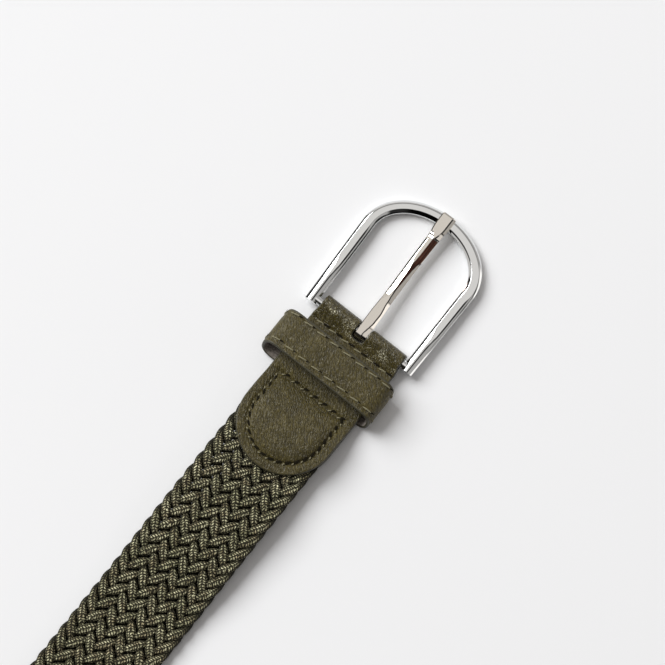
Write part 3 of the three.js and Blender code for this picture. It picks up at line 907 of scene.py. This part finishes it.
braid = {
    "cords": 17, "pitch": 5.65, "columnStep": 2.13, "shift": 0.35,
    "leftTurn": 0.65, "rightTurn": 1.05,
    "from": 32.5, "to": 182.6, "thick": 4.6, "lift": 1.15, "cordWide": 3.4, "cordThick": 2.35,
    "squeeze": 0.34, "plump": 0.2, "crisp": 1.5, "step": 0.36, "sides": 24, "stitch": 0.82,
    "powers": (0.9, 0.95), "turnBlend": (5, 12),
    # behind the bar, past the tab: underside
    "lie": [(58.3, 4), (68, 4), (90, 2.8), (118, 0)],
    "leaves": (58.3, 68), "enters": (160, 168), "leatherGap": 0.3, "middle": 113,
}
tip = {
    "from": 168, "to": 223, "halfWide": 16.8, "pointLong": 19, "pointPower": 2.4, "edgeRound": 0.5,
    "seam": 3, "seamDip": 0.2, "seamWide": 0.5, "seamStarts": 2, "seamTurns": (200, 220),
    "meet": 1.6, "columns": 58, "pointRows": 44, "straightRows": 60, "seamRows": 200,
    "startRows": (0, 0.04, 0.12, 0.25, 0.45, 0.8),  # they draw close to the tip's start
    # behind the bar: underside, top, one layer's wall
    "lie": [(168, 0, 6, 1), (183, 0, 5.6, 1.4), (192, 0, 3.3, 1.4), (223, 0, 3, 1.4)],
}


# where the braid's lower and upper faces lie: free on the surface, or between two leather layers
def braidLie(behind):
    b = braid
    held = []
    for table in (tab["lie"], tip["lie"]):
        under, top, wall = readTable(table, behind)
        held.append((under + wall + b["leatherGap"], top - wall - b["leatherGap"]))
    low, high = np.where(behind < b["middle"], *held)
    free = np.minimum(ease(behind, *b["leaves"]), 1 - ease(behind, *b["enters"]))
    under = readTable(b["lie"], behind)[0]
    return blend(low, under, free), blend(high, under + b["thick"], free)


# one cord's middle line. Its zigzag repeats after twice the cords in half pitches: across is the
# distance from the turn, rounded there by a hyperbola. Its height is a cosine of the crossings, two
# over and two under.
def cordLine(number):
    b = braid
    cords = b["cords"]
    behind = np.arange(b["from"], b["to"], b["step"])
    phase = np.mod((behind - number * b["pitch"]) / (b["pitch"] / 2), 2 * cords)
    away = np.abs(phase - cords)
    column = cords - away
    isBack = phase < cords
    right = cords / 2 - np.hypot(away, b["rightTurn"])
    left = np.hypot(column, b["leftTurn"]) - cords / 2
    across = blend(left, right, ease(column, *b["turnBlend"])) * b["columnStep"] + b["shift"]
    over = np.cos(math.pi * (column - 1.5) / 2) * np.where(isBack, 1, -1)
    turning = np.where(away < 1, phase - cords, np.where(isBack, phase, phase - 2 * cords))
    over = np.where((away < 1) | (column < 1), math.sqrt(0.5) * turning, over)
    over = np.tanh(b["crisp"] * over) / math.tanh(b["crisp"])
    low, high = braidLie(behind)
    squash = (high - low) / b["thick"]
    line = stack(barAhead - behind, -across, (low + high) / 2 + over * b["lift"] * squash)
    return line, over, squash


# a squarish section carried along each cord's line, narrower and plumper between its crossings
def buildCords():
    b = braid
    turn = roundTurns(b["sides"])
    acrossShape = signedPower(np.cos(turn), b["powers"][0])[:, None]
    upShape = signedPower(np.sin(turn), b["powers"][1])[:, None]
    for number in range(b["cords"]):
        line, over, squash = cordLine(number)
        way = unit(np.gradient(line, axis=0))
        aside = unit(np.cross([0.0, 0.0, 1.0], way))
        up = np.cross(way, aside)
        tight = 1 - over ** 2
        half = b["cordWide"] / 2 * (1 - b["squeeze"] * tight)[:, None]
        thick = (b["cordThick"] / 2 * (1 + b["plump"] * tight) * squash)[:, None]
        points = acrossShape * (aside * half)[:, None] + upShape * (up * thick)[:, None]
        uv = stack(np.arange(b["sides"] + 1) / b["sides"], runOf(line)[:, None] / b["stitch"])
        shape = newShape()
        addTube(shape, line[:, None] + points, uv)
        piece = makePiece(f"Cord{number + 1:02d}", shape, [cord], "strap", "braided_strap",
                          weld=False)
        layer = piece.data.attributes.new("Over", "FLOAT", "POINT")
        layer.data.foreach_set("value", np.repeat(over, b["sides"]).astype(np.float32))


buildCords()
print("braid ready")


# end tip: two leather layers that clasp the braid and meet beyond it

# half its width: straight, then falling by a power of the distance to the point
def tipHalf(behind):
    past = np.clip((behind - (tip["to"] - tip["pointLong"])) / tip["pointLong"], 0, 1)
    return tip["halfWide"] * np.sqrt(np.maximum(1 - past ** tip["pointPower"], 0))


def tipTop(behind, across):
    inside = tipHalf(behind) - tip["seam"] - np.abs(across)
    dip = tip["seamDip"] * np.exp(-(inside / tip["seamWide"]) ** 2)
    return readTable(tip["lie"], behind)[1] - dip * (behind > tip["from"] + tip["seamStarts"])


def buildTip():
    start = tip["to"] - tip["pointLong"]
    point = np.sin(np.linspace(0, math.pi / 2, tip["pointRows"]))
    first = tip["from"] + np.array(tip["startRows"])
    behind = join(first[:-1], np.linspace(first[-1], start, tip["straightRows"])[:-1],
                  start + tip["pointLong"] * point)[:, None]
    half = tipHalf(behind)
    slope = np.gradient(half[:, 0], behind[:, 0])[:, None]
    across = half * (acrossShares(tip["halfWide"], tip["columns"]) * 2 - 1)
    behind = np.broadcast_to(behind, across.shape)
    under, top, wall = readTable(tip["lie"], behind)
    fromSide = np.maximum((half - np.abs(across)) / np.hypot(1, slope), 0)
    near = np.clip(np.minimum(fromSide, behind - tip["from"]) / tip["edgeRound"], 0, 1)
    isRim = paintedCells(near)
    skins = (np.where(isRim, 1, 0), np.where(isRim, 1, 2))
    shape = newShape()
    for outer, inner in ((tipTop(behind, across), np.maximum(top - wall, tip["meet"])),
                         (under, np.minimum(under + wall, tip["meet"]))):
        for face, skin in zip(roundedPair(outer, inner, near), skins):
            addGrid(shape, stack(barAhead - behind, across, face), finish=skin)
    makePiece("EndTip", shape, [leather, edgePaint, liner], "strap", "end_tip")


buildTip()
print("end tip ready")


# stitches: short arched threads that dive into needle holes

stitches = {
    "radius": 0.24, "arch": 0.22, "sink": 0.14, "sides": 8, "rings": 9, "leastRadius": 0.08,
    "twistLong": 0.8, "slotSides": 12, "slotSunk": 0.06, "slotTop": 0.6, "slotDome": 0.04,
    "lookAhead": 0.2, "lookAround": 0.3,  # the steps by which a seam's way and slope are found
    # each seam's pitch, a thread's length as a share of it, its slant, how deep it lies, and the
    # dark slot after it, a dome of painted shade for the hole: how far past the thread's middle, how
    # long, how wide and how high
    "fold": (5.2, 0.66, 0.14, 0, (2.5, 2.8, 0.75, 0.34)),
    "panelStraight": (3.9, 0.36, 0.6, -0.25, (1.95, 2.8, 1.15, 0.52)),
    "panelRound": (3.15, 0.34, 0.5, -0.25, (1.57, 2.4, 1.1, 0.52)),
    "keeper": (5.4, 0.7, 0.12, 0.06, (1.9, 2.2, 0.5, 0.06)),
    "tip": (4, 0.62, 0.12, 0, (1.5, 1.2, 0.5, 0.06)),
}


# a seam's threads and slots at the given middles: each thread is a tube over a parabola, slanted
# across its seam, and each slot a low dark dome of painted shade for the hole
def addSeam(threads, holes, name, middles, ways, ups, pitch):
    s = stitches
    share, slant, deeper, (away, slotLong, slotWide, slotHigh) = s[name][1:]
    long = pitch * share
    ways, ups = unit(ways), unit(ups)
    aim = unit(ways * math.cos(slant) + np.cross(ups, ways) * math.sin(slant))
    at = np.linspace(0, 1, s["rings"])
    high = s["arch"] * 4 * at * (1 - at) - s["sink"] * (2 * at - 1) ** 2 - deeper
    fullness = np.clip(1 - np.abs(2 * at - 1) ** 3, s["leastRadius"], 1)
    radius = s["radius"] * np.sqrt(fullness)[:, None, None]
    turn, slotTurn = roundTurns(s["sides"])[:, None], roundTurns(s["slotSides"])[:, None]
    uv = stack(np.arange(s["sides"] + 1) / s["sides"], (at * long / s["twistLong"])[:, None])
    for middle, way, up in zip(middles, aim, ups):
        cross = np.cross(up, way)
        line = middle + way * ((at - 0.5) * long)[:, None] + up * high[:, None]
        addTube(threads, line[:, None] + (cross * np.cos(turn) + up * np.sin(turn)) * radius, uv)
        centre = middle + way * away + up * slotHigh
        edge = way * np.cos(slotTurn) * slotLong / 2 + cross * np.sin(slotTurn) * slotWide / 2
        dome = np.stack([edge - up * s["slotSunk"], edge * s["slotTop"] + up * s["slotDome"]])
        start = addGrid(holes, centre + dome, roundColumns=True)
        addCap(holes, start + s["slotSides"] + np.arange(s["slotSides"]))


# middles, directions and pitch of a row of stitches on a surface that is given by its height
def seamOn(line, pitch, heightOf):
    line = np.asarray(line, float)
    run = runOf(line)
    count = max(1, round(run[-1] / pitch))
    at = (np.arange(count) + 0.5) * run[-1] / count
    here, ahead, back = [stack(*[np.interp(at + step, run, column) for column in line.T])
                         for step in (0, stitches["lookAhead"], -stitches["lookAhead"])]
    step = unit(ahead - back) * stitches["lookAround"]
    turned = step[:, ::-1] * [1, -1]

    def lifted(flat):
        return stack(barAhead - flat[:, 0], flat[:, 1], heightOf(flat[:, 0], flat[:, 1]))

    way = lifted(here + step) - lifted(here - step)
    up = unit(np.cross(way, lifted(here + turned) - lifted(here - turned)))
    return lifted(here), way, up * np.sign(up[:, 2:]), run[-1] / count


# the same for a seam round the keeper's outside, from one lower end to the other
def seamOnKeeper(behind, pitch):
    y, z, angle, run = keeperPath(keeper["seamRuns"])
    raised = run[z > keeper["seamFrom"]]
    count = round((raised[-1] - raised[0]) / pitch)
    pitch = (raised[-1] - raised[0]) / count
    at = raised[0] + (np.arange(count) + 0.5) * pitch
    share = 1 - (behind - keeper["ahead"]) / (keeper["wide"] / 2)
    thick = keeper["wall"] / 2 - keeper["puff"] * keeper["seamHigh"]

    def placed(step):
        place = [np.interp(at + step, run, values) for values in (y, z, angle)]
        return keeperPoint(*place, share, thick)

    turn = np.interp(at, run, angle)
    way = placed(stitches["lookAround"]) - placed(-stitches["lookAround"])
    return placed(0), way, stack(0, np.cos(turn), np.sin(turn)), pitch


# from the panel's straight side round the D and back
def panelLine():
    radius = tab["halfWide"] - tab["inset"]
    turn = np.linspace(math.pi / 2, -math.pi / 2, 80)
    curve = stack(tabRound + radius * np.cos(turn), radius * np.sin(turn))
    return join([[tab["panelFrom"], radius]], curve, [[tab["panelFrom"], -radius]])


# down one side of the tip and up the other, drawn in at the point
def tipLine():
    behind = np.linspace(tip["from"] + tip["seam"], tip["to"] - tip["seam"], tip["seamRows"])
    half = tipHalf(behind + tip["seam"] * ease(behind, *tip["seamTurns"])) - tip["seam"]
    side = stack(behind, np.maximum(half, 0))
    return join(side, side[::-1] * [1, -1])


def buildStitches():
    threads, holes = newShape(), newShape()

    def sew(name, line, heightOf):
        addSeam(threads, holes, name, *seamOn(line, stitches[name][0], heightOf))

    sew("fold", [[tab["foldSeam"], side * tab["foldSeamHalf"]] for side in (1, -1)], tabTop)
    sew("panelStraight", panelLine()[[0, -1]], tabTop)
    sew("panelRound", panelLine(), tabTop)
    for behind in keeper["seams"]:
        addSeam(threads, holes, "keeper", *seamOnKeeper(behind, stitches["keeper"][0]))
    sew("tip", tipLine(), tipTop)
    makePiece("StitchThreads", threads, [thread], "strap", weld=False)
    # the dark domes over the needle holes: painted shade
    makePiece("NeedleHoleShades", holes, [holeShadeFinish], "strap")


buildStitches()
print("stitches ready")


# floor, light and camera

studio = {
    "floor": (238, 238, 239), "mottle": 0.985, "mottles": 9.0, "rough": 0.9, "shine": 0.15,
    "floorHalf": 6.0, "floorHigh": -3e-5,
    "warm": (1.0, 0.97, 0.945, 1.0), "cool": (0.985, 0.995, 1.0),
    "horizon": 0.03, "zenith": 0.73, "ceiling": (0.87, 0.91),
    # the walls right of the belt: a grey screen from one height to another and near the floor, and
    # a bright strip at its foot
    "right": (0.5, 0.7), "screen": 0.4, "screenLow": (0.38, 0.42), "screenHigh": (0.71, 0.75),
    "screenFoot": (0.245, 0.265), "strip": 0.8, "stripHigh": (0.19, 0.21),
    # other walls: the way to their middle as up and right on the belt, where they start and are
    # full, the heights where they fade, and how bright they are
    "back": ((1.0, -0.3), (0.5, 0.8), (0.84, 0.89), 0.4),
    "glow": ((0.64, -0.77), (0.82, 0.95), (0.75, 0.88), 0.25),
    "fill": ((-0.77, -0.64), (0.8, 0.88), (0.32, 0.4), 0.6),
    "front": ((-0.87, 0.5), (0.76, 0.86), (0.9, 0.96), 0.94),
    "keyPower": 300.0, "keySize": 3.3, "keyFar": 5.0, "keyHigh": 43.0, "keyTurn": 140.0,
    "heading": 51.5, "high": 81.0, "far": 1.0, "aim": (0.013, 0.0085, 0.0),
    "perPixel": 0.0003439, "pixels": 665, "sensor": 36.0, "clip": (0.01, 50),
}
heading = math.radians(studio["heading"])
pictureRight = Vector((math.cos(heading), -math.sin(heading), 0))
pictureUp = Vector((math.sin(heading), math.cos(heading), 0))


# matt white paper sweep with the faintest mottle
def paperFinish():
    g = Graph("PaperFloor")
    base = paint(*studio["floor"])
    darker = tuple(studio["mottle"] * c for c in base[:3]) + (1.0,)
    colour = g.mix(g.noise(g.place(), studio["mottles"], 2.0), darker, base)
    return g.finish(Base_Color=colour, Roughness=studio["rough"],
                    Specular_IOR_Level=studio["shine"])


def buildFloor():
    mesh = bpy.data.meshes.new("Floor")
    half, high = studio["floorHalf"], studio["floorHigh"]
    corners = [(-half, -half, high), (half, -half, high), (half, half, high), (-half, half, high)]
    mesh.from_pydata(corners, [], [(0, 1, 2, 3)])
    mesh.materials.append(paperFinish())
    floor = addObject("Floor", mesh)


# studio walls, by height and by side as seen along the belt: a pale ceiling, a dark gap round it, a
# grey screen over a bright strip to the right, dim walls past the buckle, a pale one back left, and
# darkness back right
def buildWorld():
    s = studio
    g = Graph("StudioWalls", world=True)
    way = g.out(g.node("TexCoord"), "Generated")

    def toward(vector):
        made = g.node("VectorMath", {"operation": "DOT_PRODUCT"}, {0: way, 1: vector})
        return g.out(made, "Value")

    high = toward((0, 0, 1))
    flat = g.math("SQRT", g.math("MAXIMUM", 1 - high * high, 0.0001))
    up, right = toward((1, 0, 0)) / flat, toward((0, -1, 0)) / flat

    def wall(name):
        (shareUp, shareRight), edge, fades, level = s[name]
        middle = g.between(up * shareUp + right * shareRight, *edge)
        return middle * (1 - g.between(high, *fades)) * level

    screen = g.between(high, *s["screenLow"]) * (1 - g.between(high, *s["screenHigh"]))
    screen = screen + 1 - g.between(high, *s["screenFoot"])
    strip = 1 - g.between(high, *s["stripHigh"])
    level = s["horizon"] + g.between(high, *s["ceiling"]) * s["zenith"]
    level = level + g.between(right, *s["right"]) * (screen * s["screen"] + strip * s["strip"])
    level = (level + wall("back") + wall("glow") + wall("fill")) * (1 - wall("front"))
    g.show(g.node("Background", None, {"Color": s["warm"], "Strength": level}), "OutputWorld")
    bpy.context.scene.world = g.owner


def buildLight():
    s = studio
    turn, high = math.radians(s["keyTurn"]), math.radians(s["keyHigh"])
    flat = pictureRight * math.cos(turn) + pictureUp * math.sin(turn)
    way = flat * math.cos(high) + Vector((0, 0, math.sin(high)))
    lamp = bpy.data.lights.new("KeyLight", "AREA")
    lamp.shape, lamp.size = "SQUARE", s["keySize"]
    lamp.energy, lamp.color = s["keyPower"], s["cool"]
    key = addObject("KeyLight", lamp)
    key.location = Vector(s["aim"]) + way * s["keyFar"]
    key.rotation_euler = way.to_track_quat("Z", "Y").to_euler()


def buildCamera():
    s = studio
    high = math.radians(s["high"])
    back = Vector((0, 0, math.sin(high))) - pictureUp * math.cos(high)
    camera = bpy.data.cameras.new("Camera")
    camera.sensor_width = s["sensor"]
    camera.lens = s["sensor"] * s["far"] / (s["perPixel"] * s["pixels"])
    camera.clip_start, camera.clip_end = s["clip"]
    eye = addObject("Camera", camera)
    turn = Matrix((pictureRight, back.cross(pictureRight), back)).transposed()
    eye.matrix_world = Matrix.Translation(Vector(s["aim"]) + back * s["far"]) @ turn.to_4x4()
    bpy.context.scene.camera = eye


buildFloor()
buildWorld()
buildLight()
buildCamera()
bpy.context.scene.view_settings.view_transform = "Standard"
print("studio ready")
